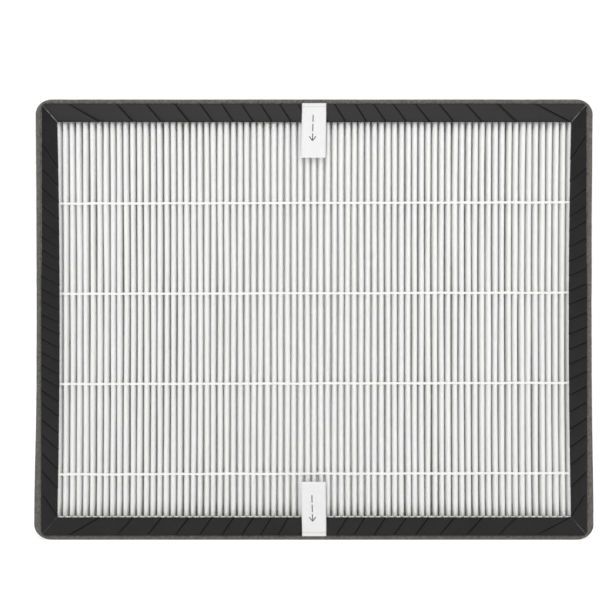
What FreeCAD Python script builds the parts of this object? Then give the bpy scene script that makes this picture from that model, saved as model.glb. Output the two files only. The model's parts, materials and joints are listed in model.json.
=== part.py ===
import FreeCAD, Part
import math
import os

os.makedirs("parts", exist_ok=True)

# Replacement particle filter cartridge of a room air purifier, upright and seen from its front (-Y).
# X is the width, Y the depth and Z the height, in millimetres.
# The origin is the middle of the bottom edge.

# Driving sizes
overall_width = 345.0
overall_height = 274.0
overall_depth = 30.0

# Sealing gasket round the edge
gasket_thickness = 3.0
gasket_corner_radius = 9.3
gasket_inner_corner_radius = 2.4
gasket_waist = 0.6           # how far its left and right sides draw in at mid-height
gasket_recess = 1.0          # from the borders' outer edges to the gasket's edges
gasket_seam_width = 0.3      # where its two lengths of strip meet
gasket_seam_x = -118.0       # one seam is on the underside, the other at the top right corner

# Stiffening boards inside the gasket
board_thickness = 1.8
frame_corner_radius = 3.0

# Black borders on both faces, which slope up from the boards to the pleats
border_thickness = 0.5
side_border_width = 10.3
end_border_width = 11.6
side_border_bow = 1.6        # extra width of the side borders at mid-height
border_rise = 3.6            # from a border's outer edge to its highest point
border_fit = 0.15            # glue line between a border and the seal below it

# Pleated paper
nominal_pleat_pitch = 4.2
paper_thickness = 0.4
pack_overlap = 1.0           # how far the paper runs under the borders
tip_clearance = 0.3          # from the fold tips to the borders

# Spacer beads of hot glue
bead_count = 4
bead_spacing = 56.0
first_bead_height = 41.0
bead_height = 1.9
bead_proud = 0.15            # how far a bead stands out of the fold tips
bead_reach = 3.0             # how far it fills the gaps between folds, from the tips
bead_fit = 0.05              # glue line between a bead and the paper

# Ribbon pull tabs
tab_width = 15.2
tab_thickness = 0.4
tab_length = 33.4            # from the border's outer edge to the free end
tab_tail_length = 12.0       # the glued part under the gasket
tab_clearance = 0.3          # between a loose tab and the border
tab_hinge_gap = 0.3          # from the fold line to each half of the ribbon
tab_pocket_fit = 0.1

# Planes and edges that follow from them
half_width = overall_width / 2
frame_half_width = half_width - gasket_thickness
frame_bottom = gasket_thickness
frame_top = overall_height - gasket_thickness
opening_half_width = frame_half_width - side_border_width
opening_bottom = frame_bottom + end_border_width
opening_top = frame_top - end_border_width

side_slope = border_rise / (side_border_width + side_border_bow)
corner_rise = side_slope * side_border_width
end_slope = corner_rise / end_border_width
end_angle = math.atan(end_slope)

tab_offset = tab_clearance + tab_thickness / 2
tab_slope_length = (end_border_width + tab_offset) / math.cos(end_angle)
hinge_y = -overall_depth / 2 + tab_thickness / 2 + tab_slope_length * math.sin(end_angle)
front_edge_y = hinge_y + tab_offset
rear_edge_y = overall_depth / 2 - border_rise
middle_y = (front_edge_y + rear_edge_y) / 2
top_hinge_z = frame_top + tab_thickness / 2
middle_z = overall_height / 2

pack_half_width = opening_half_width + pack_overlap
pack_bottom = opening_bottom - pack_overlap
pack_top = opening_top + pack_overlap
pack_edge_rise = end_slope * (end_border_width - pack_overlap)
front_tip_y = front_edge_y - pack_edge_rise + border_thickness + tip_clearance
rear_tip_y = 2 * middle_y - front_tip_y

pack_width = 2 * pack_half_width
pleat_count = round((pack_width - paper_thickness) / nominal_pleat_pitch + 0.5)
leaf_spacing = (pack_width - paper_thickness) / (2 * pleat_count - 1)
fold_radius = leaf_spacing / 2
outer_fold_radius = fold_radius + paper_thickness / 2


def point(x, y, z):
    return FreeCAD.Vector(x, y, z)


def box(low, high):
    size = [high[i] - low[i] for i in range(3)]
    return Part.makeBox(size[0], size[1], size[2], point(*low))


def closed_prism(edges, direction):
    wire = Part.Wire(edges)
    return Part.Face(wire).extrude(direction)


def polygon_prism(points, direction):
    return Part.Face(Part.makePolygon(points + points[:1])).extrude(direction)


def mirrored_to_rear(shape):
    return shape.mirror(point(0, middle_y, 0), point(0, 1, 0))


def mirrored_to_bottom(shape):
    return shape.mirror(point(0, 0, middle_z), point(0, 0, 1))


def mirrored_to_right(shape):
    return shape.mirror(point(0, 0, 0), point(1, 0, 0))


def rounded_block(half_x, low_z, high_z, low_y, high_y, radius):
    block = box((-half_x, low_y, low_z), (half_x, high_y, high_z))
    upright = [e for e in block.Edges if abs(e.tangentAt(e.FirstParameter).y) > 0.99]
    return block.makeFillet(radius, upright)


def waist_cutter(low_y, high_y):
    """What the gasket's right side loses where it draws in between its corners."""
    low = point(half_width, low_y, 1.2 * gasket_corner_radius)
    high = point(half_width, low_y, overall_height - 1.2 * gasket_corner_radius)
    middle = point(half_width - gasket_waist, low_y, middle_z)
    edges = [Part.Arc(low, middle, high).toShape(), Part.LineSegment(high, low).toShape()]
    return closed_prism(edges, point(0, high_y - low_y, 0))


def frame_block(low_y, high_y, radius):
    return rounded_block(frame_half_width, frame_bottom, frame_top, low_y, high_y, radius)


def top_wedge():
    """Everything between the top corners' mitre lines."""
    reach = 1.5
    run_in = reach * side_border_width
    run_down = reach * end_border_width
    out = 0.5
    points = [
        point(-frame_half_width - out * side_border_width, -overall_depth,
              frame_top + out * end_border_width),
        point(frame_half_width + out * side_border_width, -overall_depth,
              frame_top + out * end_border_width),
        point(frame_half_width - run_in, -overall_depth, frame_top - run_down),
        point(-frame_half_width + run_in, -overall_depth, frame_top - run_down),
    ]
    return polygon_prism(points, point(0, 2 * overall_depth, 0))


def left_wedge():
    """Everything between the left corners' mitre lines."""
    reach = 1.5
    run_in = reach * side_border_width
    run_down = reach * end_border_width
    out = 0.5
    outside = -frame_half_width - out * side_border_width
    inside = -frame_half_width + run_in
    points = [
        point(outside, -overall_depth, frame_top + out * end_border_width),
        point(inside, -overall_depth, frame_top - run_down),
        point(inside, -overall_depth, frame_bottom + run_down),
        point(outside, -overall_depth, frame_bottom - out * end_border_width),
    ]
    return polygon_prism(points, point(0, 2 * overall_depth, 0))


def opening_prism():
    """The opening in the borders, with its bowed left and right edges."""
    y = -overall_depth
    corners = [point(-opening_half_width, y, opening_bottom), point(opening_half_width, y, opening_bottom),
               point(opening_half_width, y, opening_top), point(-opening_half_width, y, opening_top)]
    bow_x = opening_half_width - side_border_bow
    edges = [
        Part.LineSegment(corners[0], corners[1]).toShape(),
        Part.Arc(corners[1], point(bow_x, y, middle_z), corners[2]).toShape(),
        Part.LineSegment(corners[2], corners[3]).toShape(),
        Part.Arc(corners[3], point(-bow_x, y, middle_z), corners[0]).toShape(),
    ]
    return closed_prism(edges, point(0, 2 * overall_depth, 0))


def sloped_top_layer(outer_inset, inner_inset, front_offset, depth):
    """A bar across the top whose front face lies front_offset behind the border's front face."""
    def front(inset):
        return front_edge_y - end_slope * inset + front_offset
    points = [
        point(-half_width, front(outer_inset), frame_top - outer_inset),
        point(-half_width, front(inner_inset), frame_top - inner_inset),
        point(-half_width, front(inner_inset) + depth(inner_inset), frame_top - inner_inset),
        point(-half_width, front(outer_inset) + depth(outer_inset), frame_top - outer_inset),
    ]
    return polygon_prism(points, point(overall_width, 0, 0)).common(top_wedge())


def sloped_left_layer(outer_inset, inner_inset, front_offset, depth):
    """The same down the left side."""
    def front(inset):
        return front_edge_y - side_slope * inset + front_offset
    points = [
        point(outer_inset - frame_half_width, front(outer_inset), 0),
        point(inner_inset - frame_half_width, front(inner_inset), 0),
        point(inner_inset - frame_half_width, front(inner_inset) + depth(inner_inset), 0),
        point(outer_inset - frame_half_width, front(outer_inset) + depth(outer_inset), 0),
    ]
    return polygon_prism(points, point(0, 0, overall_height)).common(left_wedge())


def border_depth(inset):
    return border_thickness


def make_top_border():
    strip = sloped_top_layer(0, end_border_width, 0, border_depth)
    return strip.common(frame_block(-overall_depth, overall_depth, frame_corner_radius))


def make_left_border():
    strip = sloped_left_layer(0, side_border_width + side_border_bow, 0, border_depth)
    strip = strip.common(frame_block(-overall_depth, overall_depth, frame_corner_radius))
    return strip.cut(opening_prism())


def seal_depth(slope):
    """The depth of a seal between the front and rear borders, at a distance from the frame's edge."""
    shallow = rear_edge_y - front_edge_y - 2 * (border_thickness + border_fit)
    return lambda inset: shallow + 2 * slope * inset


def inside_boards():
    """The space that the four boards enclose."""
    half_x = frame_half_width - board_thickness
    return box((-half_x, -overall_depth, frame_bottom + board_thickness),
               (half_x, overall_depth, frame_top - board_thickness))


def make_top_seal():
    inner = frame_top - pack_top
    layer = sloped_top_layer(board_thickness, inner, border_thickness + border_fit,
                             seal_depth(end_slope))
    return layer.common(inside_boards())


def make_left_seal():
    inner = frame_half_width - pack_half_width
    layer = sloped_left_layer(board_thickness, inner, border_thickness + border_fit,
                              seal_depth(side_slope))
    return layer.common(inside_boards())


def board_ring():
    low_y = front_edge_y + border_thickness
    high_y = rear_edge_y - border_thickness
    return frame_block(low_y, high_y, frame_corner_radius).cut(inside_boards())


def gasket_corner_seam(low_y, high_y):
    reach = gasket_thickness
    seam = box((frame_half_width - reach, low_y, frame_top - gasket_seam_width / 2),
               (frame_half_width + reach, high_y, frame_top + gasket_seam_width / 2))
    seam.rotate(point(frame_half_width, 0, frame_top), point(0, 1, 0), -45)
    return seam


def make_gasket():
    low_y = front_edge_y + gasket_recess
    high_y = rear_edge_y - gasket_recess
    loop = rounded_block(half_width, 0, overall_height, low_y, high_y, gasket_corner_radius)
    waist = waist_cutter(low_y, high_y)
    loop = loop.cut(waist).cut(mirrored_to_right(waist))
    loop = loop.cut(frame_block(low_y, high_y, gasket_inner_corner_radius))
    seam = box((gasket_seam_x, low_y, 0), (gasket_seam_x + gasket_seam_width, high_y, frame_bottom))
    loop = loop.cut(seam).cut(gasket_corner_seam(low_y, high_y))
    pocket = box(
        (-tab_width / 2 - tab_pocket_fit, low_y, frame_top),
        (tab_width / 2 + tab_pocket_fit, hinge_y + tab_tail_length + tab_pocket_fit,
         frame_top + tab_thickness + tab_pocket_fit))
    loop = loop.cut(pocket).cut(mirrored_to_bottom(pocket))
    return sorted(loop.Solids, key=lambda run: run.CenterOfMass.x)


def leaf_x(index):
    return -pack_half_width + paper_thickness / 2 + index * leaf_spacing


def fold_centres(rear):
    """The middle of each fold, on the rear or the front face."""
    first = 1 if rear else 0
    return [leaf_x(i) + fold_radius for i in range(first, 2 * pleat_count - 1, 2)]


def paper_face(side, z):
    """The edges of one face of the zigzag sheet, from its left end to its right end.

    side is 1 for the face outside the front folds and -1 for the one outside the rear folds."""
    front_y = front_tip_y + outer_fold_radius
    rear_y = rear_tip_y - outer_fold_radius
    edges = []
    last = 2 * pleat_count - 1
    for i in range(2 * pleat_count):
        forward = i % 2 == 0
        x = leaf_x(i) + (-side if forward else side) * paper_thickness / 2
        start = point(x, rear_y if forward else front_y, z)
        end = point(x, front_y if forward else rear_y, z)
        edges.append(Part.LineSegment(start, end).toShape())
        if i == last:
            break
        radius = fold_radius + (side if forward else -side) * paper_thickness / 2
        middle = leaf_x(i) + fold_radius
        crest_y = end.y - radius if forward else end.y + radius
        edges.append(Part.Arc(end, point(middle, crest_y, z),
                              point(2 * middle - end.x, end.y, z)).toShape())
    return edges


def make_pleat_pack():
    outer = paper_face(1, pack_bottom)
    inner = paper_face(-1, pack_bottom)
    rear_y = rear_tip_y - outer_fold_radius
    edges = list(outer) + list(inner)
    for i in (0, 2 * pleat_count - 1):
        edges.append(Part.LineSegment(point(leaf_x(i) - paper_thickness / 2, rear_y, pack_bottom),
                                      point(leaf_x(i) + paper_thickness / 2, rear_y, pack_bottom)).toShape())
    wire = Part.Wire(Part.__sortEdges__(edges))
    return Part.Face(wire).extrude(point(0, 0, pack_top - pack_bottom))


def make_bead(rear, low_z):
    """A bead that bridges the folds of one face and fills the mouths of the gaps between them."""
    out = 1 if rear else -1
    tip_y = rear_tip_y if rear else front_tip_y
    radius = outer_fold_radius + bead_fit
    centre_y = tip_y - out * outer_fold_radius
    face_y = tip_y + out * bead_proud
    deep_y = tip_y - out * bead_reach
    quarter = radius * math.sqrt(0.5)
    centres = fold_centres(rear)
    edges = []

    def line(start, end):
        edges.append(Part.LineSegment(start, end).toShape())

    def arc(start, over, end):
        edges.append(Part.Arc(start, over, end).toShape())

    def at(x, y):
        return point(x, y, low_z)

    for left, right in zip(centres, centres[1:]):
        crest_left = at(left, centre_y + out * radius)
        crest_right = at(right, centre_y + out * radius)
        arc(crest_left, at(left + quarter, centre_y + out * quarter), at(left + radius, centre_y))
        line(at(left + radius, centre_y), at(left + radius, deep_y))
        line(at(left + radius, deep_y), at(right - radius, deep_y))
        line(at(right - radius, deep_y), at(right - radius, centre_y))
        arc(at(right - radius, centre_y), at(right - quarter, centre_y + out * quarter), crest_right)
    line(at(centres[-1], centre_y + out * radius), at(centres[-1], face_y))
    line(at(centres[-1], face_y), at(centres[0], face_y))
    line(at(centres[0], face_y), at(centres[0], centre_y + out * radius))
    return closed_prism(edges, point(0, 0, bead_height))


def make_top_tab():
    """The loose part of the top ribbon, hanging down the border and over the pleats."""
    along = (-math.sin(end_angle), -math.cos(end_angle))
    half = tab_thickness / 2
    bend_shift = half * math.tan(end_angle / 2)
    start_y = hinge_y + tab_hinge_gap * along[0]
    start_z = top_hinge_z + tab_hinge_gap * along[1]
    bend_y = hinge_y + tab_slope_length * along[0]
    bend_z = top_hinge_z + tab_slope_length * along[1]
    end_z = frame_top - tab_length
    points = [
        (start_y + half * along[1], start_z - half * along[0]),
        (bend_y - half, bend_z + bend_shift),
        (bend_y - half, end_z),
        (bend_y + half, end_z),
        (bend_y + half, bend_z - bend_shift),
        (start_y - half * along[1], start_z + half * along[0]),
    ]
    outline = [point(-tab_width / 2, y, z) for y, z in points]
    return polygon_prism(outline, point(tab_width, 0, 0))


def make_top_tail():
    """The glued part of the top ribbon, between the board and the gasket."""
    return box((-tab_width / 2, hinge_y + tab_hinge_gap, frame_top),
               (tab_width / 2, hinge_y + tab_tail_length, frame_top + tab_thickness))


def make_parts():
    top_border = make_top_border()
    left_border = make_left_border()
    top_seal = make_top_seal()
    left_seal = make_left_seal()
    ring = board_ring()
    top_board = ring.common(top_wedge())
    left_board = ring.common(left_wedge())
    top_tab = make_top_tab()
    top_tail = make_top_tail()
    left_run, right_run = make_gasket()
    parts = {
        "pleat_pack": make_pleat_pack(),
        "left_gasket_run": left_run,
        "right_gasket_run": right_run,
        "top_tab": top_tab,
        "bottom_tab": mirrored_to_bottom(top_tab),
        "top_tab_tail": top_tail,
        "bottom_tab_tail": mirrored_to_bottom(top_tail),
    }
    for name, top, left in (("board", top_board, left_board), ("seal", top_seal, left_seal),
                            ("front_border", top_border, left_border)):
        parts["top_" + name] = top
        parts["bottom_" + name] = mirrored_to_bottom(top)
        parts["left_" + name] = left
        parts["right_" + name] = mirrored_to_right(left)
    for side in ("top", "bottom", "left", "right"):
        parts[side + "_rear_border"] = mirrored_to_rear(parts[side + "_front_border"])
    for i in range(bead_count):
        low_z = first_bead_height + i * bead_spacing - bead_height / 2
        parts["front_bead_%d" % (i + 1)] = make_bead(False, low_z)
        parts["rear_bead_%d" % (i + 1)] = make_bead(True, low_z)
    return parts


for node, shape in make_parts().items():
    if len(shape.Solids) != 1 or not shape.isValid():
        raise ValueError("%s is not one valid solid" % node)
    shape.Solids[0].exportStep("parts/%s.step" % node)
    bounds = shape.BoundBox
    print("%-22s %8.0f mm3  x %7.2f %7.2f  y %6.2f %6.2f  z %6.2f %6.2f" % (
        node, shape.Volume, bounds.XMin, bounds.XMax, bounds.YMin, bounds.YMax, bounds.ZMin, bounds.ZMax))
print("pleats %d, pitch %.3f, hinge y %.3f, top hinge z %.3f, bottom hinge z %.3f" % (
    pleat_count, 2 * leaf_spacing, hinge_y, top_hinge_z, overall_height - top_hinge_z))
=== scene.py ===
import json
import math

import bmesh
import bpy
from mathutils import Matrix, Vector, noise


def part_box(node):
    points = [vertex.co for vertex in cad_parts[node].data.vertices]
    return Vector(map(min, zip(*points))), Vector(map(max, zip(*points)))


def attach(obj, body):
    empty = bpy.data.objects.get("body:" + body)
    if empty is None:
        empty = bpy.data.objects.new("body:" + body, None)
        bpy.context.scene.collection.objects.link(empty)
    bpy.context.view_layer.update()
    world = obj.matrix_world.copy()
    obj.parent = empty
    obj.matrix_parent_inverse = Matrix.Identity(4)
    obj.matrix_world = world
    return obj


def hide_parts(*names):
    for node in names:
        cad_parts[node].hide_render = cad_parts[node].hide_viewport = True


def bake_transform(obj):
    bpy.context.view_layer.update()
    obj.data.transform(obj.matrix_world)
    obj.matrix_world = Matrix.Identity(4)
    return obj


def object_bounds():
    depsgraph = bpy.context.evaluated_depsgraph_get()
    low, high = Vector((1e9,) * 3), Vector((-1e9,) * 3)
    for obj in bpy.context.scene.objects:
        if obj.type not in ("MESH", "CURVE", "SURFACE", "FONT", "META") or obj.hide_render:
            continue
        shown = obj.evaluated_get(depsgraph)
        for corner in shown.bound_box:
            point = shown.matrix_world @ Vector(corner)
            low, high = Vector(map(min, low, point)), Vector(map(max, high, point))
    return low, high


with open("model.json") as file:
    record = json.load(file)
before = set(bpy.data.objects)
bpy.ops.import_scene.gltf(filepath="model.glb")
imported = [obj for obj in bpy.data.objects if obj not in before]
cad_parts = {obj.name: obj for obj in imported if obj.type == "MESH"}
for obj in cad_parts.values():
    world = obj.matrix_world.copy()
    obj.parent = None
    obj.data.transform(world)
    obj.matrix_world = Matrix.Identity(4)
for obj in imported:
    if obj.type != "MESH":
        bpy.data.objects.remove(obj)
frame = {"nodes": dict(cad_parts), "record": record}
cadLow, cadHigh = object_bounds()
print("frame loaded:", len(frame["nodes"]), "nodes")

mm = 0.001
scene = bpy.context.scene

# places that every piece shares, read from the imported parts
packLow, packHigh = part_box("pleat_pack")
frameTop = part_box("top_board")[1].z
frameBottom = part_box("bottom_board")[0].z
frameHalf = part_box("right_board")[1].x
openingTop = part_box("top_front_border")[0].z
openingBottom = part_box("bottom_front_border")[1].z
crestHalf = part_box("right_front_border")[0].x
middleZ = (frameTop + frameBottom) / 2


def mix(a, b, t):
    return a + (b - a) * t


def smooth(t):
    t = min(max(t, 0.0), 1.0)
    return t * t * (3 - 2 * t)


def wander(x, y, z):
    return noise.noise(Vector((x, y, z)))


def newMaterial(name):
    material = bpy.data.materials.new(name)
    material.use_nodes = True
    tree = material.node_tree
    shader = next(n for n in tree.nodes if n.type == "BSDF_PRINCIPLED")
    return material, tree, shader


def addNode(tree, kind, settings=None, **inputs):
    node = tree.nodes.new(kind)
    for key, value in (settings or {}).items():
        setattr(node, key, value)
    for key, value in inputs.items():
        socket = node.inputs[key.replace("_", " ")]
        if isinstance(value, bpy.types.NodeSocket):
            tree.links.new(value, socket)
        else:
            socket.default_value = value
    return node


def place(tree, source="Object", scale=(1, 1, 1)):
    coords = addNode(tree, "ShaderNodeTexCoord")
    mapping = addNode(tree, "ShaderNodeMapping", Vector=coords.outputs[source])
    mapping.inputs["Scale"].default_value = scale
    return mapping.outputs["Vector"]


def noiseOf(tree, vector, scale, detail=4.0, roughness=0.6):
    node = addNode(tree, "ShaderNodeTexNoise", Vector=vector, Scale=scale, Detail=detail,
                   Roughness=roughness)
    return node.outputs["Fac"]


def rampOf(tree, fac, stops):
    node = addNode(tree, "ShaderNodeValToRGB", Fac=fac)
    ramp = node.color_ramp
    while len(ramp.elements) < len(stops):
        ramp.elements.new(0.5)
    for element, (position, colour) in zip(ramp.elements, stops):
        element.position = position
        element.color = (*colour, 1.0)
    return node.outputs["Color"]


def math2(tree, operation, a, b):
    node = tree.nodes.new("ShaderNodeMath")
    node.operation = operation
    for socket, value in zip(node.inputs, (a, b)):
        if isinstance(value, bpy.types.NodeSocket):
            tree.links.new(value, socket)
        else:
            socket.default_value = value
    return node.outputs[0]


def mixColour(tree, fac, a, b, blend="MIX"):
    node = tree.nodes.new("ShaderNodeMix")
    node.data_type = "RGBA"
    node.blend_type = blend
    for socket, value in ((node.inputs[0], fac), (node.inputs[6], a), (node.inputs[7], b)):
        if isinstance(value, bpy.types.NodeSocket):
            tree.links.new(value, socket)
        elif isinstance(value, tuple):
            socket.default_value = (*value, 1.0)
        else:
            socket.default_value = value
    return node.outputs[2]


def addBump(tree, shader, height, distance, strength=1.0):
    bump = addNode(tree, "ShaderNodeBump", Height=height, Distance=distance, Strength=strength)
    tree.links.new(bump.outputs["Normal"], shader.inputs["Normal"])


def letThrough(tree, shader, share, colour):
    # thin white stuff passes some of the light that falls on it
    output = next(n for n in tree.nodes if n.type == "OUTPUT_MATERIAL")
    glow = addNode(tree, "ShaderNodeBsdfTranslucent")
    glow.inputs["Color"].default_value = (*colour, 1.0)
    both = addNode(tree, "ShaderNodeMixShader")
    both.inputs["Fac"].default_value = share
    tree.links.new(shader.outputs["BSDF"], both.inputs[1])
    tree.links.new(glow.outputs["BSDF"], both.inputs[2])
    tree.links.new(both.outputs["Shader"], output.inputs["Surface"])


# the last two paper entries paint shade half way down the folds, where the valleys are deep
filterPaper = {"light": (0.97, 0.97, 0.967), "shade": (0.945, 0.945, 0.942), "fibre": 900, "cloud": 90,
               "bump": 0.05 * mm, "roughness": 0.85, "through": 0.36, "valleyShade": 0.8, "shallow": (0.0, 4 * mm)}


def makeFilterPaper():
    # matted fibres: a fine bump, faint clouds and a few denser specks
    material, tree, shader = newMaterial("filterPaper")
    where = place(tree)
    cloud = noiseOf(tree, where, filterPaper["cloud"], 3.0)
    fibre = noiseOf(tree, place(tree, scale=(1, 1, 0.35)), filterPaper["fibre"], 6.0, 0.7)
    colour = rampOf(tree, cloud, [(0.3, filterPaper["shade"]), (0.62, filterPaper["light"])])
    specks = rampOf(tree, fibre, [(0.28, (0.965, 0.965, 0.965)), (0.42, (1, 1, 1))])
    colour = mixColour(tree, 1.0, colour, specks, "MULTIPLY")
    # painted shade: the leaves are darker half way down the folds, where the valleys are deep
    split = addNode(tree, "ShaderNodeSeparateXYZ", Vector=where)
    fromMiddle = math2(tree, "ABSOLUTE", split.outputs["Y"], 0.0)
    low, high = filterPaper["shallow"]
    paintedValleyShade = addNode(tree, "ShaderNodeMapRange", Value=fromMiddle, From_Min=low, From_Max=high,
                   To_Min=filterPaper["valleyShade"], To_Max=1.0)
    colour = mixColour(tree, 1.0, colour, paintedValleyShade.outputs["Result"], "MULTIPLY")
    tree.links.new(colour, shader.inputs["Base Color"])
    shader.inputs["Roughness"].default_value = filterPaper["roughness"]
    shader.inputs["Specular IOR Level"].default_value = 0.2
    addBump(tree, shader, fibre, filterPaper["bump"])
    letThrough(tree, shader, filterPaper["through"], (0.98, 0.98, 0.977))
    return material


beadGlue = {"light": (0.84, 0.84, 0.83), "shade": (0.79, 0.79, 0.77), "roughness": (0.32, 0.5),
            "bump": 0.06 * mm}


def makeBeadGlue():
    # set hot glue: milky and satin, with the ripples it froze in
    material, tree, shader = newMaterial("beadGlue")
    where = place(tree)
    ripple = noiseOf(tree, where, 420, 2.0)
    colour = rampOf(tree, noiseOf(tree, where, 160), [(0.3, beadGlue["shade"]), (0.6, beadGlue["light"])])
    tree.links.new(colour, shader.inputs["Base Color"])
    low, high = beadGlue["roughness"]
    spread = addNode(tree, "ShaderNodeMapRange", Value=ripple, To_Min=low, To_Max=high)
    tree.links.new(spread.outputs["Result"], shader.inputs["Roughness"])
    shader.inputs["Specular IOR Level"].default_value = 0.4
    addBump(tree, shader, ripple, beadGlue["bump"])
    return material


borderSkin = {"light": (0.0115, 0.0115, 0.0125), "shade": (0.0075, 0.0075, 0.0085),
              "creaseShade": (0.002, 0.002, 0.0025), "cut": (0.55, 0.55, 0.55),
              "grain": 1500, "bump": 0.03 * mm, "roughness": (0.38, 0.5)}


def makeBorderSkin():
    # a bonded black skin with a leathery grain; painted shade darkens its creases and the gap along its
    # outer edge, it is paler where it was cut, and a painted highlight pales the upper outer edge of its
    # side strips
    material, tree, shader = newMaterial("borderSkin")
    where = place(tree)
    grain = noiseOf(tree, where, borderSkin["grain"], 3.0)
    cells = addNode(tree, "ShaderNodeTexVoronoi", Vector=where, Scale=borderSkin["grain"])
    cloud = noiseOf(tree, where, 55, 4.0)
    colour = rampOf(tree, cloud, [(0.32, borderSkin["shade"]), (0.66, borderSkin["light"])])
    speck = rampOf(tree, grain, [(0.35, (0.8, 0.8, 0.8)), (0.65, (1.15, 1.15, 1.15))])
    colour = mixColour(tree, 1.0, colour, speck, "MULTIPLY")
    creaseShade = addNode(tree, "ShaderNodeAttribute", {"attribute_name": "creaseShade"})
    cut = addNode(tree, "ShaderNodeAttribute", {"attribute_name": "cut"})
    # painted shade: darker in the creases and in the gap along the outer edge
    colour = mixColour(tree, creaseShade.outputs["Fac"], colour, borderSkin["creaseShade"])
    patchy = rampOf(tree, noiseOf(tree, where, 260, 2.0), [(0.34, (0.1, 0.1, 0.1)), (0.58, (1, 1, 1))])
    # paler at the cut mitre ends, and a painted highlight along the upper outer edge of the side strips
    paleEdgeAndHighlight = math2(tree, "MULTIPLY", cut.outputs["Fac"], patchy)
    colour = mixColour(tree, paleEdgeAndHighlight, colour, borderSkin["cut"])
    tree.links.new(colour, shader.inputs["Base Color"])
    low, high = borderSkin["roughness"]
    spread = addNode(tree, "ShaderNodeMapRange", Value=cloud, To_Min=low, To_Max=high)
    tree.links.new(spread.outputs["Result"], shader.inputs["Roughness"])
    shader.inputs["Specular IOR Level"].default_value = 0.22
    height = math2(tree, "ADD", grain, cells.outputs["Distance"])
    addBump(tree, shader, height, borderSkin["bump"])
    return material


gasketFelt = {"light": (0.215, 0.206, 0.19), "middle": (0.132, 0.126, 0.116),
              "shade": (0.062, 0.059, 0.054), "bump": 0.28 * mm}


def makeGasketFelt():
    # pressed felt: fibres lie along the strip, over a mottled grey and brown
    material, tree, shader = newMaterial("gasketFelt")
    along = place(tree, "UV", (1, 14, 1))
    fibre = noiseOf(tree, along, 700, 6.0, 0.75)
    where = place(tree)
    mottle = noiseOf(tree, where, 620, 6.0, 0.75)
    stops = [(0.3, gasketFelt["shade"]), (0.52, gasketFelt["middle"]), (0.74, gasketFelt["light"])]
    colour = rampOf(tree, mottle, stops)
    streak = rampOf(tree, fibre, [(0.35, (0.62, 0.62, 0.62)), (0.66, (1.4, 1.38, 1.34))])
    tree.links.new(mixColour(tree, 1.0, colour, streak, "MULTIPLY"), shader.inputs["Base Color"])
    shader.inputs["Roughness"].default_value = 0.95
    shader.inputs["Specular IOR Level"].default_value = 0.1
    shader.inputs["Sheen Weight"].default_value = 0.25
    height = math2(tree, "ADD", fibre, mottle)
    addBump(tree, shader, height, gasketFelt["bump"])
    return material


satinRibbon = {"light": (0.80, 0.80, 0.803), "shade": (0.75, 0.75, 0.755), "seam": (0.45, 0.45, 0.47),
               "seamShadeShare": 0.55, "warp": 0.28 * mm, "weft": 0.4 * mm, "bump": 0.05 * mm}


def threadsAcross(tree, coordinate, spacing):
    turns = math2(tree, "MULTIPLY", coordinate, 2 * math.pi / spacing)
    return math2(tree, "SINE", turns, 0)


def makeSatinRibbon():
    # satin tape: fine warp threads along it, a coarser weft under them, and painted shade along its pressed
    # seam
    material, tree, shader = newMaterial("satinRibbon")
    where = place(tree, "UV")
    split = addNode(tree, "ShaderNodeSeparateXYZ", Vector=where)
    warp = threadsAcross(tree, split.outputs["X"], satinRibbon["warp"])
    weft = threadsAcross(tree, split.outputs["Y"], satinRibbon["weft"])
    weave = math2(tree, "ADD", warp, math2(tree, "MULTIPLY", weft, 0.5))
    slub = noiseOf(tree, place(tree, "UV", (1, 0.08, 1)), 2600, 3.0)
    colour = rampOf(tree, slub, [(0.3, satinRibbon["shade"]), (0.6, satinRibbon["light"])])
    # painted shade: the ribbon is darker along its pressed seam
    seam = addNode(tree, "ShaderNodeAttribute", {"attribute_name": "seam"})
    pressed = math2(tree, "MULTIPLY", seam.outputs["Fac"], satinRibbon["seamShadeShare"])
    tree.links.new(mixColour(tree, pressed, colour, satinRibbon["seam"]), shader.inputs["Base Color"])
    shader.inputs["Roughness"].default_value = 0.42
    shader.inputs["Specular IOR Level"].default_value = 0.35
    shader.inputs["Sheen Weight"].default_value = 0.3
    shader.inputs["Sheen Roughness"].default_value = 0.4
    height = math2(tree, "ADD", weave, math2(tree, "MULTIPLY", slub, 1.5))
    addBump(tree, shader, height, satinRibbon["bump"], 0.6)
    return material


greyInk = {"thin": (0.14, 0.14, 0.145), "thick": (0.06, 0.06, 0.064), "bump": 0.02 * mm}


def makeGreyInk():
    # stamped ink that takes unevenly on the weave
    material, tree, shader = newMaterial("greyInk")
    patch = noiseOf(tree, place(tree), 3200, 3.0)
    colour = rampOf(tree, patch, [(0.3, greyInk["thick"]), (0.7, greyInk["thin"])])
    tree.links.new(colour, shader.inputs["Base Color"])
    shader.inputs["Roughness"].default_value = 0.6
    addBump(tree, shader, patch, greyInk["bump"])
    return material


pottingFoam = {"light": (0.92, 0.915, 0.89), "shade": (0.84, 0.835, 0.80),
               "pores": 1400.0, "bump": 0.05 * mm}


def makePotting():
    # cast sealing foam, off-white with small pores
    material, tree, shader = newMaterial("pottingFoam")
    where = place(tree)
    pores = addNode(tree, "ShaderNodeTexVoronoi", Vector=where, Scale=pottingFoam["pores"])
    cloud = noiseOf(tree, where, 120)
    colour = rampOf(tree, cloud, [(0.3, pottingFoam["shade"]), (0.7, pottingFoam["light"])])
    tree.links.new(colour, shader.inputs["Base Color"])
    shader.inputs["Roughness"].default_value = 0.75
    addBump(tree, shader, pores.outputs["Distance"], pottingFoam["bump"])
    return material


kraftBoard = {"light": (0.045, 0.044, 0.043), "shade": (0.018, 0.018, 0.019), "bump": 0.04 * mm}


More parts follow.
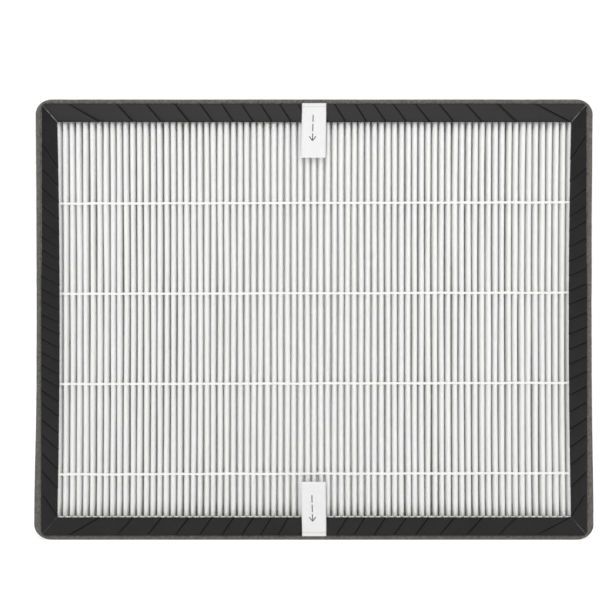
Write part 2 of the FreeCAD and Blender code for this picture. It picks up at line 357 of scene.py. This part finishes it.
def makeBoard():
    # black kraft board with a fibrous face
    material, tree, shader = newMaterial("kraftBoard")
    fibre = noiseOf(tree, place(tree, scale=(0.2, 1, 0.2)), 1500, 5.0, 0.7)
    colour = rampOf(tree, fibre, [(0.3, kraftBoard["shade"]), (0.7, kraftBoard["light"])])
    tree.links.new(colour, shader.inputs["Base Color"])
    shader.inputs["Roughness"].default_value = 0.8
    addBump(tree, shader, fibre, kraftBoard["bump"])
    return material


materials = {
    "paper": makeFilterPaper(),
    "glue": makeBeadGlue(),
    "skin": makeBorderSkin(),
    "felt": makeGasketFelt(),
    "ribbon": makeSatinRibbon(),
    "ink": makeGreyInk(),
    "potting": makePotting(),
    "board": makeBoard(),
}
print("materials made:", len(materials))


def gridPatch(columns, rows, pointAt, attributes=(), valueAt=None):
    # a create_grid sheet whose point at (column, row) is moved to pointAt(column, row)
    bm = bmesh.new()
    bm.loops.layers.uv.new("UVMap")
    bmesh.ops.create_grid(bm, x_segments=columns, y_segments=rows, size=0.5, calc_uvs=True)
    layers = [bm.verts.layers.float.new(name) for name in attributes]
    for vert in bm.verts:
        column = round((vert.co.x + 0.5) * columns)
        row = round((vert.co.y + 0.5) * rows)
        for layer, value in zip(layers, valueAt(column, row) if valueAt else ()):
            vert[layer] = value
        vert.co = pointAt(column, row)
    return bm


def scaleUv(bm, width, length):
    # the pattern's own coordinates, in metres
    layer = bm.loops.layers.uv.active
    for face in bm.faces:
        for loop in face.loops:
            loop[layer].uv.x *= width
            loop[layer].uv.y *= length


def closeTube(bm, distance=0.01 * mm):
    # a sheet that was rolled into a tube: its long edges are merged and its ends are filled
    bmesh.ops.remove_doubles(bm, verts=bm.verts, dist=distance)
    edges = [e for e in bm.edges if e.is_boundary]
    bmesh.ops.holes_fill(bm, edges=edges, sides=0)
    bmesh.ops.recalc_face_normals(bm, faces=bm.faces)


def finishPiece(name, bm, material, body="cartridge", nodes=(), sharpAngle=40):
    mesh = bpy.data.meshes.new(name)
    bm.to_mesh(mesh)
    bm.free()
    mesh.materials.append(materials[material])
    mesh.shade_smooth()
    mesh.set_sharp_from_angle(angle=math.radians(sharpAngle))
    piece = bpy.data.objects.new(name, mesh)
    scene.collection.objects.link(piece)
    if body:
        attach(piece, body)
    if nodes:
        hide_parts(*nodes)
    return piece


def faceOutwards(bm, outward):
    # turns an open sheet so that its faces look towards outward
    bmesh.ops.recalc_face_normals(bm, faces=bm.faces)
    total = Vector()
    for face in bm.faces:
        total += face.normal * face.calc_area()
    if total.dot(outward) < 0:
        bmesh.ops.reverse_faces(bm, faces=bm.faces)


pleats = {"count": 77, "paper": 0.4 * mm, "rows": 24,
          "drift": 0.17 * mm, "jitter": 0.09 * mm, "swell": 0.08, "sink": 0.22 * mm, "squeeze": 0.7 * mm}
# a fold from its tip inwards: (depth, half width); it opens like a wedge and then runs nearly straight
foldShape = [(0.0, 0.0), (0.25 * mm, 0.56 * mm), (1.0 * mm, 0.96 * mm), (2.6 * mm, 1.3 * mm),
             (5.0 * mm, 1.54 * mm), (7.8 * mm, 1.64 * mm)]
leafSpacing = (packHigh.x - packLow.x - pleats["paper"]) / (2 * pleats["count"] - 1)
outerFold = (leafSpacing + pleats["paper"]) / 2


def squeezed(x, z):
    # the pack draws in a little at mid-height
    halfHeight = (packHigh.z - packLow.z) / 2
    share = 1 - ((z - middleZ) / halfHeight) ** 2
    return x - pleats["squeeze"] * share * x / packHigh.x


def foldMiddle(fold, z):
    # fold 0 is the first front fold, 1 the first rear fold, and so on
    x = packLow.x + pleats["paper"] / 2 + (fold + 0.5) * leafSpacing
    edge = min(fold, 2 * pleats["count"] - 2 - fold)
    free = smooth(edge / 3)
    drift = wander(fold * 7.31, z * 15, 3.7) * pleats["drift"] * 2
    jitter = wander(fold * 3.17, 0.5, 9.1) * pleats["jitter"] * 2
    return squeezed(x, z) + (drift + jitter) * free


def pleatPoint(column, row):
    z = mix(packLow.z, packHigh.z, row / pleats["rows"])
    perFold = 2 * len(foldShape) - 1
    folds = 2 * pleats["count"] - 1
    edgeX = packHigh.x - pleats["paper"] / 2
    if column in (0, folds * perFold + 1):
        return Vector((-edgeX if column == 0 else edgeX, packHigh.y - outerFold, z))
    fold, step = divmod(column - 1, perFold)
    fromTip = step - (len(foldShape) - 1)
    depth, halfWidth = foldShape[abs(fromTip)]
    swell = 1 + wander(fold * 5.3, z * 13, 17.0) * pleats["swell"] * 2
    sink = (0.5 + wander(fold * 2.9, z * 15, 31.0)) * pleats["sink"]
    x = foldMiddle(fold, z) + math.copysign(halfWidth * swell, fromTip)
    edgeLeaf = (fold == 0 and step == 0) or (fold == folds - 1 and step == perFold - 1)
    x = math.copysign(edgeX, x) if edgeLeaf else min(max(x, -edgeX), edgeX)
    inward = pleats["paper"] / 2 + sink + depth
    if fold % 2 == 0:
        return Vector((x, packLow.y + inward, z))
    return Vector((x, packHigh.y - inward, z))


def makePleatPack():
    columns = (2 * pleats["count"] - 1) * (2 * len(foldShape) - 1) + 1
    bm = gridPatch(columns, pleats["rows"], pleatPoint)
    bmesh.ops.recalc_face_normals(bm, faces=bm.faces)
    piece = finishPiece("pleated_paper", bm, "paper", nodes=("pleat_pack",),
                        sharpAngle=80)
    thick = piece.modifiers.new("paper", "SOLIDIFY")
    thick.thickness = pleats["paper"]
    thick.offset = 0.0


makePleatPack()


# glue across the folds: half heights on a fold, in a valley and on the walls, and how uneven it is
beads = {"rows": 10, "perFold": 8, "thin": 0.3 * mm, "onWall": 0.8, "uneven": 0.22, "dipUneven": 0.5,
         "crestHeight": 0.7 * mm, "neckHeight": 0.75 * mm, "wallHeight": 0.95 * mm,
         "proud": 0.12 * mm, "dip": 0.5 * mm, "depth": 1.0 * mm, "wobble": 0.22 * mm, "climb": 0.8 * mm}
# potting that was pressed up between the folds along the bottom
squeeze = {"rows": 8, "perFold": 8, "sunk": 0.35 * mm,
           "thin": 0.3 * mm, "onWall": 0.8, "uneven": 0.22, "dipUneven": 0.5,
           "crestHeight": 0.45 * mm, "neckHeight": 0.75 * mm, "wallHeight": 0.8 * mm,
           "proud": -0.25 * mm, "dip": 0.3 * mm, "depth": 1.8 * mm, "wobble": 0.12 * mm}


def beadPoint(column, row, rear, middleHeight, shape):
    first = 1 if rear else 0
    folds = pleats["count"] - (1 if rear else 0)
    along = min(max(column / shape["perFold"], 0), folds - 1)
    index = min(int(along), folds - 2)
    t = along - index
    left = foldMiddle(first + 2 * index, middleHeight)
    right = foldMiddle(first + 2 * index + 2, middleHeight)
    x = mix(left, right, t)
    valley = math.sin(math.pi * t) ** 2
    wall = math.sin(2 * math.pi * t) ** 2
    blob = wander(along * 1.3, middleHeight * 40, 5.0 if rear else 1.0)
    height = mix(shape["crestHeight"], shape["neckHeight"], valley)
    height = mix(height, shape["wallHeight"], wall * shape["onWall"])
    height *= 1 + shape["uneven"] * blob
    radius = mix(shape["thin"], shape["depth"], valley)
    surface = mix(-shape["proud"], shape["dip"] * (1 + shape["dipUneven"] * blob), valley)
    angle = 2 * math.pi * row / shape["rows"]
    out = 1 if rear else -1
    tip = packHigh.y if rear else packLow.y
    y = tip - out * (surface + radius) + out * radius * math.cos(angle)
    z = middleHeight + height * math.sin(angle)
    z += wander(along * 0.21, 7.0, middleHeight * 30) * shape["wobble"]
    z += shape.get("climb", 0.0) * along / folds
    return Vector((x, y, z))


def makeStrand(name, rear, height, shape, material, nodes):
    folds = pleats["count"] - (1 if rear else 0)
    columns = (folds - 1) * shape["perFold"]
    bm = gridPatch(columns, shape["rows"], lambda c, r: beadPoint(c, r, rear, height, shape))
    closeTube(bm)
    finishPiece(name, bm, material, nodes=nodes, sharpAngle=80)


for face in ("front", "rear"):
    for number in range(1, 5):
        node = "%s_bead_%d" % (face, number)
        low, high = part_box(node)
        height = (low.z + high.z) / 2
        makeStrand("glue_" + node, face == "rear", height, beads, "glue", (node,))
    height = openingBottom - squeeze["sunk"]
    makeStrand("potting_%s_squeeze" % face, face == "rear", height, squeeze, "potting", ())
print("glue beads made")


skins = {"thickness": 0.45 * mm, "rows": (0.0, 0.035, 0.17, 0.33, 0.5, 0.67, 0.84, 1.0),
         "bulge": 0.22 * mm, "corner": 3.0 * mm,
         "sideWidth": 10.3 * mm, "groove": 0.45 * mm, "puff": 0.16 * mm, "cutWidth": 0.3 * mm,
         "edgeShade": 1.0, "edgeHighlight": 0.5, "highlightBelow": -20 * mm, "highlightOver": 30 * mm,
         "outerStray": 1.6 * mm, "innerStray": 0.8 * mm, "waviness": 0.1 * mm, "softEdge": 0.09 * mm}
# how pale each strip's cut edge is, at its left or top end and at its other end
mitreWear = {"top": (0.8, 0.5), "bottom": (0.15, 0.35), "left": (0.8, 0.15), "right": (0.5, 0.35)}
# creases of one strip: how many, their pitch in the middle, how much it opens towards the corners,
# how far a crease runs along the strip, in the middle, near the ends and at the last one, how far
# the first one is moved out, how much further the last one runs, and how far they all are moved
endCreases = {"count": 20, "pitch": 11.55 * mm, "opening": 0.0039 * mm,
              "slant": 6.8 * mm, "endSlant": 10.4 * mm,
              "lastSlant": 20 * mm, "lastShift": 7.0 * mm, "lastSpread": 4 * mm, "shift": -4.3 * mm}
leftCreases = {"count": 24, "pitch": 7.76 * mm, "opening": 0.001 * mm,
               "slant": 5.6 * mm, "endSlant": 11.5 * mm,
               "lastSlant": 17 * mm, "lastShift": 3.5 * mm, "lastSpread": 0.0, "shift": 0.0}
rightCreases = {"count": 22, "pitch": 9.13 * mm, "opening": 0.0009 * mm,
                "slant": 4.6 * mm, "endSlant": 9.5 * mm,
                "lastSlant": 16.5 * mm, "lastShift": 8.5 * mm, "lastSpread": 0.0, "shift": 0.0}

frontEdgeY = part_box("top_front_border")[1].y - 0.5 * mm
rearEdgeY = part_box("top_rear_border")[0].y + 0.5 * mm
middleY = (frontEdgeY + rearEdgeY) / 2
endWidth = frameTop - openingTop
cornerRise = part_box("top_front_border")[1].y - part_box("top_front_border")[0].y - 0.5 * mm
sideSlope = cornerRise / skins["sideWidth"]
openingHalf = frameHalf - skins["sideWidth"]
sideBow = openingHalf - crestHalf
halfOpening = (openingTop - openingBottom) / 2


def creaseLines(creases, halfOuter, halfInner, seed):
    # (outer end, inner end) of every line across a strip, from one mitre to the other
    lines = [(-halfOuter, -halfInner)]
    count = creases["count"]
    for number in range(count):
        i = number - (count - 1) / 2
        bend = abs(i)
        outer = creases["pitch"] * i + math.copysign(creases["opening"] * bend ** 4, i) + creases["shift"]
        slant = mix(creases["slant"], creases["endSlant"], min(bend / (count / 2 - 1.5), 1) ** 2)
        if bend > count / 2 - 1:
            slant = creases["lastSlant"] + (creases["lastSpread"] if i > 0 else 0.0)
            outer -= creases["lastShift"] if i < 0 else 0.0
        outer += wander(number * 1.7, seed, 2.0) * skins["outerStray"]
        inner = outer + slant + wander(number * 2.3, seed, 5.0) * skins["innerStray"]
        limit = halfInner - 0.5 * mm
        lines.append((outer, min(max(inner, -limit), limit)))
    lines.append((halfOuter, halfInner))
    return lines


# columns between two creases: share of the way, lift of the skin, and how much painted crease shade it gets
creaseProfile = [(0.0, -1.0, 1.0), (0.03, 0.0, 0.45), (0.075, 0.8, 0.0), (0.25, 1.0, 0.0), (0.5, 0.55, 0.0),
                 (0.78, 0.1, 0.0), (0.93, -0.12, 0.0), (0.975, -0.3, 0.25)]


def skinColumns(lines):
    columns = []
    for number, (start, end) in enumerate(zip(lines, lines[1:])):
        for share, lift, creaseShade in creaseProfile:
            outer = mix(start[0], end[0], share)
            inner = mix(start[1], end[1], share)
            atMitre = number == 0 and share < 0.02
            columns.append([outer, inner, 0.0 if atMitre else lift, 0.0 if atMitre else creaseShade])
    columns.append([lines[-1][0], lines[-1][1], 0.0, 0.0])
    # one more column close to each mitre, for the pale cut edge
    first, last = columns[0], columns[-1]
    edge = skins["cutWidth"]
    columns[1] = [first[0] + edge, first[1] + edge, 0.0, 0.0]
    columns[-2] = [last[0] - edge, last[1] - edge, 0.0, 0.0]
    return columns


def roundCorner(x, z):
    # keeps a point inside the frame's round corners
    r = skins["corner"]
    dx = abs(x) - (frameHalf - r)
    dz = abs(z - middleZ) - ((frameTop - frameBottom) / 2 - r)
    reach = math.hypot(dx, dz)
    if dx > 0 and dz > 0 and reach > r:
        x = math.copysign(frameHalf - r + dx * r / reach, x)
        z = middleZ + math.copysign((frameTop - frameBottom) / 2 - r + dz * r / reach, z - middleZ)
    return x, z


def makeSkin(side, rear):
    onEnd = side in ("top", "bottom")
    flip = -1 if side in ("bottom", "right") else 1
    creases = endCreases if onEnd else (leftCreases if side == "left" else rightCreases)
    halfOuter = frameHalf if onEnd else (frameTop - frameBottom) / 2
    halfInner = openingHalf if onEnd else halfOpening
    seed = {"top": 1, "bottom": 4, "left": 7, "right": 11}[side]
    columns = skinColumns(creaseLines(creases, halfOuter, halfInner, seed))
    shares = skins["rows"]

    def pointAt(column, row):
        outer, inner, lift, creaseShade = columns[column]
        s = shares[row]
        along = mix(outer, inner, s)
        fade = smooth(s * 8) * 0.4 + 0.6
        shape = skins["groove"] if lift < 0 else skins["puff"]
        raised = lift * shape * fade + skins["bulge"] * math.sin(math.pi * s)
        raised += wander(along * 60, s * 2, middleY * 90 + (3 if rear else 0)) * skins["waviness"]
        if onEnd:
            x, z = along, frameTop - s * endWidth
            rise = s * cornerRise
            z = z if flip > 0 else 2 * middleZ - z
        else:
            bow = sideBow * max(0.0, 1 - (along / halfOpening) ** 2)
            width = skins["sideWidth"] + bow
            x = -(frameHalf - s * width) * flip
            z = middleZ - along          # a crease runs down as it goes inwards
            rise = s * width * sideSlope
        x, z = roundCorner(x, z)
        y = frontEdgeY - rise - raised
        return Vector((x, 2 * middleY - y if rear else y, z))

    def valueAt(column, row):
        outer, inner, lift, creaseShade = columns[column]
        cut = mitreWear[side][0 if column == 0 else 1] if column in (0, len(columns) - 1) else 0.0
        # painted shade: the outer row of the top and bottom strips is darkened as the gap to the felt
        if row == 0 and onEnd:
            creaseShade = max(creaseShade, skins["edgeShade"])
        # painted highlight: the outer row of the side strips is paled towards their upper ends
        elif row == 0:
            cut = max(cut, skins["edgeHighlight"] * smooth((skins["highlightBelow"] - outer) / skins["highlightOver"]))
        return creaseShade, cut

    bm = gridPatch(len(columns) - 1, len(shares) - 1, pointAt, ("creaseShade", "cut"), valueAt)
    faceOutwards(bm, Vector((0, 1 if rear else -1, 0)))
    name = "%s_%s_border" % (side, "rear" if rear else "front")
    piece = finishPiece(side + ("_rear" if rear else "_front") + "_skin", bm, "skin", nodes=(name,),
                        sharpAngle=30)
    thick = piece.modifiers.new("thickness", "SOLIDIFY")
    thick.thickness = skins["thickness"]
    thick.offset = -1.0
    soft = piece.modifiers.new("edges", "BEVEL")
    soft.width = skins["softEdge"]
    soft.segments = 2
    soft.limit_method = "ANGLE"
    soft.angle_limit = math.radians(55)


for rear in (False, True):
    for side in ("top", "bottom", "left", "right"):
        makeSkin(side, rear)
print("border skins made")


gasketLow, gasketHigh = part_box("left_gasket_run")
gasketHigh.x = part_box("right_gasket_run")[1].x
gasket = {"thickness": 3.0 * mm, "outerCorner": 9.3 * mm, "innerCorner": 2.4 * mm, "waist": 0.6 * mm,
          "edgeRound": 0.5 * mm, "cornerSteps": 12, "pitch": 3.0 * mm, "fuzz": 0.1 * mm, "sag": 0.16 * mm,
          "seamX": -118.0 * mm, "sideSwell": 0.85 * mm, "leftFlare": 0.95 * mm, "rightFlare": 0.6 * mm,
          "flareAt": 22 * mm, "flareReach": 48 * mm, "faceSag": 0.14 * mm}


def rimStations():
    # once round the edge from the seam in its underside: straight stretches and corners
    halfW = gasketHigh.x
    height = gasketHigh.z - gasketLow.z
    stations = []
    corner = gasket["outerCorner"]

    def straight(side, start, end, length):
        steps = max(2, round(length * abs(end - start) / gasket["pitch"]))
        for k in range(steps):
            stations.append(("side", side, mix(start, end, k / steps)))

    def bend(sx, sz, startAngle):
        for k in range(gasket["cornerSteps"]):
            angle = startAngle - math.pi / 2 * k / gasket["cornerSteps"]
            stations.append(("corner", (sx, sz), angle))

    wide = 2 * (halfW - corner)
    tall = height - 2 * corner
    seam = (gasket["seamX"] + halfW - corner) / wide
    straight("bottom", seam, 0.0, wide)
    bend(-1, -1, -math.pi / 2)
    straight("left", 0.0, 1.0, tall)
    bend(-1, 1, math.pi)
    straight("top", 0.0, 1.0, wide)
    bend(1, 1, math.pi / 2)
    straight("right", 1.0, 0.0, tall)
    bend(1, -1, 0.0)
    straight("bottom", 1.0, seam, wide)
    stations.append(("side", "bottom", seam + 0.0012))
    return stations


def rimPoint(station, inset):
    kind, where, value = station
    halfW = gasketHigh.x - inset
    halfH = (gasketHigh.z - gasketLow.z) / 2 - inset
    share = min(max(inset / gasket["thickness"], 0), 1)
    r = mix(gasket["outerCorner"], gasket["innerCorner"], share)
    if kind == "corner":
        sx, sz = where
        return sx * (halfW - r) + r * math.cos(value), middleZ + sz * (halfH - r) + r * math.sin(value)
    waist = gasket["waist"] * (1 - share) * (1 - (2 * value - 1) ** 2)
    if where in ("left", "right"):
        sign = -1 if where == "left" else 1
        return sign * (halfW - waist), middleZ + mix(-(halfH - r), halfH - r, value)
    sign = -1 if where == "bottom" else 1
    return mix(-(halfW - r), halfW - r, value), middleZ + sign * halfH


def makeGasket():
    stations = rimStations()
    r = gasket["edgeRound"]
    t = gasket["thickness"]
    section = []  # (inset, y) once round the strip's section
    corners = ((r, gasketHigh.y - r, math.pi / 2), (r, gasketLow.y + r, math.pi),
               (t - r, gasketLow.y + r, 1.5 * math.pi), (t - r, gasketHigh.y - r, 0.0))
    for cornerInset, cornerY, start in corners:
        for k in range(3):
            angle = start + math.pi / 4 * k
            section.append((cornerInset + r * math.cos(angle), cornerY + r * math.sin(angle)))
        if cornerInset == r and start == math.pi / 2:
            for k in range(1, 5):      # more points down the wide outer face
                section.append((0.0, mix(gasketHigh.y - r, gasketLow.y + r, k / 5)))

    rows = len(section)

    def pointAt(column, row):
        inset, y = section[row % rows]
        kind, where, value = stations[column]
        x, z = rimPoint(stations[column], inset)
        outside = 1 - min(inset / t, 1)
        rough = wander(x * 700, y * 500, z * 700) * gasket["fuzz"]
        lazy = wander(x * 18, y * 25, z * 18) * gasket["sag"]
        push = (rough + lazy) * outside
        if abs(x) / gasketHigh.x > abs(z - middleZ) / (gasketHigh.z - middleZ):
            x -= math.copysign(abs(push), x)
        elif z > middleZ or inset > 0.01 * mm:
            z -= math.copysign(abs(push), z - middleZ)
        # the felt is a little thicker down the sides, most of all near the foot
        sideShare = abs(math.cos(value)) if kind == "corner" else float(where in ("left", "right"))
        foot = math.exp(-((z - gasket["flareAt"]) / gasket["flareReach"]) ** 2)
        swell = gasket["sideSwell"] + gasket["leftFlare" if x < 0 else "rightFlare"] * foot
        x += math.copysign(swell * sideShare * outside, x)
        y += wander(x * 90, 3.0, z * 90) * gasket["faceSag"] + rough * 0.8
        return Vector((x, y, z))

    bm = gridPatch(len(stations) - 1, rows, pointAt)
    perimeter = 2 * (gasketHigh.x * 2 + gasketHigh.z)
    scaleUv(bm, perimeter, 2 * (t + gasketHigh.y - gasketLow.y))
    closeTube(bm)
    runs = ("left_gasket_run", "right_gasket_run")
    piece = finishPiece("felt_gasket", bm, "felt", nodes=runs, sharpAngle=70)


makeGasket()
print("gasket made")


hinge = Vector(frame["record"]["behaviour"]["joints"][0]["pos_m"])
ribbon = {"width": 15.0 * mm, "lean": -0.6 * mm, "thickness": 0.3 * mm, "tail": 11.0 * mm,
          "free": 34.6 * mm, "step": 0.35 * mm, "bendReach": 0.8 * mm,
          "foldLength": 1.5 * mm, "slope": math.radians(15), "flare": 0.5 * mm, "curl": math.radians(5),
          "cup": 0.25 * mm, "ripple": 0.22 * mm, "columns": 12,
          "seamAt": 2.3 * mm, "seamDepth": 0.1 * mm, "seamDip": 0.35 * mm, "seamWidth": 0.3 * mm}


def ribbonHeading(s):
    # the way the ribbon runs at s from the fold, as an angle in the YZ plane: 180 forwards, 270 down
    fold = smooth(s / ribbon["foldLength"] + 0.5)
    angle = mix(math.pi, math.radians(270) - ribbon["slope"], fold)
    bend = smooth((s - endWidth) / (3 * mm))
    angle += ribbon["slope"] * bend
    angle -= ribbon["curl"] * smooth((s - 0.7 * ribbon["free"]) / (0.3 * ribbon["free"]))
    return angle


def ribbonLine():
    # points every step along the ribbon, from the glued end to the free end
    step = ribbon["step"]
    back = round(ribbon["tail"] / step)
    forth = round(ribbon["free"] / step)
    line = {0: Vector((0.0, 0.0))}
    for k in range(forth):
        angle = ribbonHeading((k + 0.5) * step)
        line[k + 1] = line[k] + Vector((math.cos(angle), math.sin(angle))) * step
    for k in range(back):
        angle = ribbonHeading(-(k + 0.5) * step)
        line[-k - 1] = line[-k] - Vector((math.cos(angle), math.sin(angle))) * step
    return line, back, forth


ribbonPath, ribbonBack, ribbonForth = ribbonLine()


def ribbonSurface(across, s, lift=0.0):
    # across from -1 to 1, s along from the fold; lift is off the face that shows
    position = s / ribbon["step"]
    k = min(max(math.floor(position), -ribbonBack), ribbonForth - 1)
    point = ribbonPath[k].lerp(ribbonPath[k + 1], position - k)
    angle = ribbonHeading(s)
    outward = Vector((math.sin(angle), -math.cos(angle)))
    loose = smooth((s - 1.5 * mm) / (8 * mm))
    cup = ribbon["cup"] * loose * across ** 2
    ripple = wander(across * 1.5, s * 160, 4.0) * ribbon["ripple"] * loose
    pressed = -ribbon["seamDepth"] * math.exp(-((s - ribbon["seamAt"]) / ribbon["seamDip"]) ** 2)
    point = point + outward * (lift + cup + ripple + pressed)
    half = ribbon["width"] / 2 + ribbon["flare"] / 2 * smooth(s / ribbon["free"])
    lean = ribbon["lean"] * smooth(s / ribbon["free"])
    return Vector((across * half + lean, hinge.y + point.x, hinge.z + point.y))


def toBottom(point):
    return Vector((point.x, point.y, 2 * middleZ - point.z))


def makeRibbon(name, bottom):
    rows = ribbonBack + ribbonForth

    def pointAt(column, row):
        s = (row - ribbonBack) * ribbon["step"]
        point = ribbonSurface(2 * column / ribbon["columns"] - 1, s)
        return toBottom(point) if bottom else point

    # the seam value paints shade along the pressed seam
    def valueAt(column, row):
        s = (row - ribbonBack) * ribbon["step"]
        return (math.exp(-((s - ribbon["seamAt"]) / ribbon["seamWidth"]) ** 2),)

    bm = gridPatch(ribbon["columns"], rows, pointAt, ("seam",), valueAt)
    scaleUv(bm, ribbon["width"], rows * ribbon["step"])
    faceOutwards(bm, Vector((0, -1, 0)))
    tab = name + "_tab"
    piece = finishPiece(name + "_ribbon", bm, "ribbon", body=None, sharpAngle=60)
    bpy.context.view_layer.objects.active = piece
    thick = piece.modifiers.new("thickness", "SOLIDIFY")
    thick.thickness = ribbon["thickness"]
    thick.offset = 0.0
    applyModifiers(piece)
    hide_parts(tab, tab + "_tail")
    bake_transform(piece)


def applyModifiers(piece):
    graph = bpy.context.evaluated_depsgraph_get()
    mesh = bpy.data.meshes.new_from_object(piece.evaluated_get(graph))
    piece.modifiers.clear()
    old = piece.data
    piece.data = mesh
    mesh.name = old.name
    bpy.data.meshes.remove(old)


mark = {"topStart": 7.7 * mm, "bottomStart": 9.9 * mm, "topAcross": -0.6 * mm, "bottomAcross": -0.9 * mm,
        "length": 16.4 * mm, "head": 4.0 * mm, "stroke": 0.62 * mm, "dashes": 3, "gap": 1.2 * mm,
        "lift": 0.17 * mm, "ink": 0.03 * mm}


def inkBar(bm, start, end, stroke, bottom):
    # one printed stroke between two points (across, along) on a ribbon
    run = Vector(end) - Vector(start)
    side = Vector((-run.y, run.x)).normalized() * stroke / 2
    steps = max(2, round(run.length / (0.5 * mm)))
    bar = bmesh.new()
    bmesh.ops.create_grid(bar, x_segments=1, y_segments=steps, size=0.5)
    half = ribbon["width"] / 2
    for vert in bar.verts:
        spot = Vector(start) + run * (vert.co.y + 0.5) + side * (2 * vert.co.x)
        point = ribbonSurface(spot.x / half, spot.y, mark["lift"])
        vert.co = toBottom(point) if bottom else point
    faceOutwards(bar, Vector((0, -1, 0)))
    bmesh.ops.solidify(bar, geom=bar.faces, thickness=mark["ink"])
    mesh = bpy.data.meshes.new("stroke")
    bar.to_mesh(mesh)
    bar.free()
    bm.from_mesh(mesh)
    bpy.data.meshes.remove(mesh)


def makeMark(name, bottom):
    # a plain dashed arrow that points down the panel, on either tab
    bm = bmesh.new()
    start = mark[name + "Start"]
    x = mark[name + "Across"]
    dash = (mark["length"] - mark["gap"] * (mark["dashes"] - 1)) / mark["dashes"]
    for k in range(mark["dashes"]):
        low = start + k * (dash + mark["gap"])
        inkBar(bm, (x, low), (x, low + dash), mark["stroke"], bottom)
    tip = start if bottom else start + mark["length"]
    back = tip + mark["head"] * (0.7 if bottom else -0.7)
    for side in (-1, 1):
        inkBar(bm, (x + side * mark["head"] / 2, back), (x, tip), mark["stroke"], bottom)
    finishPiece(name + "_tab_mark", bm, "ink", body=name + "_tab", sharpAngle=60)


for name in ("top", "bottom"):
    makeRibbon(name, name == "bottom")
    makeMark(name, name == "bottom")
print("ribbons made, with their marks")


for side in ("top", "bottom", "left", "right"):
    frame["nodes"][side + "_seal"].data.materials.clear()
    frame["nodes"][side + "_seal"].data.materials.append(materials["potting"])
    frame["nodes"][side + "_board"].data.materials.clear()
    frame["nodes"][side + "_board"].data.materials.append(materials["board"])
print("seals and boards have their materials")


stage = {"floorSize": 60.0, "floor": 0.6, "floorGlow": 0.71,
         "world": 0.5, "behind": 1.02, "behindFrom": 0.72, "behindTo": 0.93,
         "keyPower": 10.4, "keySize": (1.3, 1.0), "keyPlace": (0.0, -1.0, 1.05),
         "cameraX": -0.0088, "cameraZ": 0.1492, "distance": 0.88, "lens": 85.0}


def makeFloor():
    bm = bmesh.new()
    bmesh.ops.create_grid(bm, x_segments=1, y_segments=1, size=stage["floorSize"] / 2)
    mesh = bpy.data.meshes.new("floor")
    bm.to_mesh(mesh)
    bm.free()
    floor = bpy.data.objects.new("floor", mesh)
    floor.location.z = cadLow.z
    scene.collection.objects.link(floor)
    material, tree, shader = newMaterial("paleFloor")
    shader.inputs["Base Color"].default_value = (stage["floor"], stage["floor"], stage["floor"], 1)
    shader.inputs["Roughness"].default_value = 0.9
    shader.inputs["Specular IOR Level"].default_value = 0.0
    shader.inputs["Emission Color"].default_value = (1, 1, 1, 1)
    shader.inputs["Emission Strength"].default_value = stage["floorGlow"]
    mesh.materials.append(material)


def makeLight():
    world = bpy.data.worlds.new("studio")
    scene.world = world
    world.use_nodes = True
    background = next(n for n in world.node_tree.nodes if n.type == "BACKGROUND")
    background.inputs["Color"].default_value = (1, 1, 1, 1)
    # even light all round, and a white wall's glow behind the panel
    tree = world.node_tree
    coords = addNode(tree, "ShaderNodeTexCoord")
    split = addNode(tree, "ShaderNodeSeparateXYZ", Vector=coords.outputs["Generated"])
    soft = {"interpolation_type": "SMOOTHSTEP"}
    fade = addNode(tree, "ShaderNodeMapRange", soft, Value=split.outputs["Y"],
                   From_Min=stage["behindFrom"], From_Max=stage["behindTo"],
                   To_Min=stage["world"], To_Max=stage["behind"])
    tree.links.new(fade.outputs["Result"], background.inputs["Strength"])
    light = bpy.data.lights.new("key", "AREA")
    light.energy = stage["keyPower"]
    light.shape = "RECTANGLE"
    light.size, light.size_y = stage["keySize"]
    key = bpy.data.objects.new("key", light)
    scene.collection.objects.link(key)
    key.location = stage["keyPlace"]
    aim = Vector((0, 0, middleZ)) - key.location
    key.rotation_euler = aim.to_track_quat("-Z", "Y").to_euler()


def makeCamera():
    data = bpy.data.cameras.new("camera")
    data.lens = stage["lens"]
    data.sensor_width = 36.0
    data.clip_start = 0.01
    data.clip_end = 100.0
    camera = bpy.data.objects.new("camera", data)
    scene.collection.objects.link(camera)
    camera.location = (stage["cameraX"], frontEdgeY - stage["distance"], stage["cameraZ"])
    camera.rotation_euler = (math.pi / 2, 0, 0)
    scene.camera = camera


makeFloor()
makeLight()
makeCamera()
scene.view_settings.view_transform = "Standard"
scene.view_settings.look = "None"
scene.cycles.max_bounces = 16        # light has to find its way down between the folds
scene.cycles.diffuse_bounces = 12
print("stage, light and camera set")
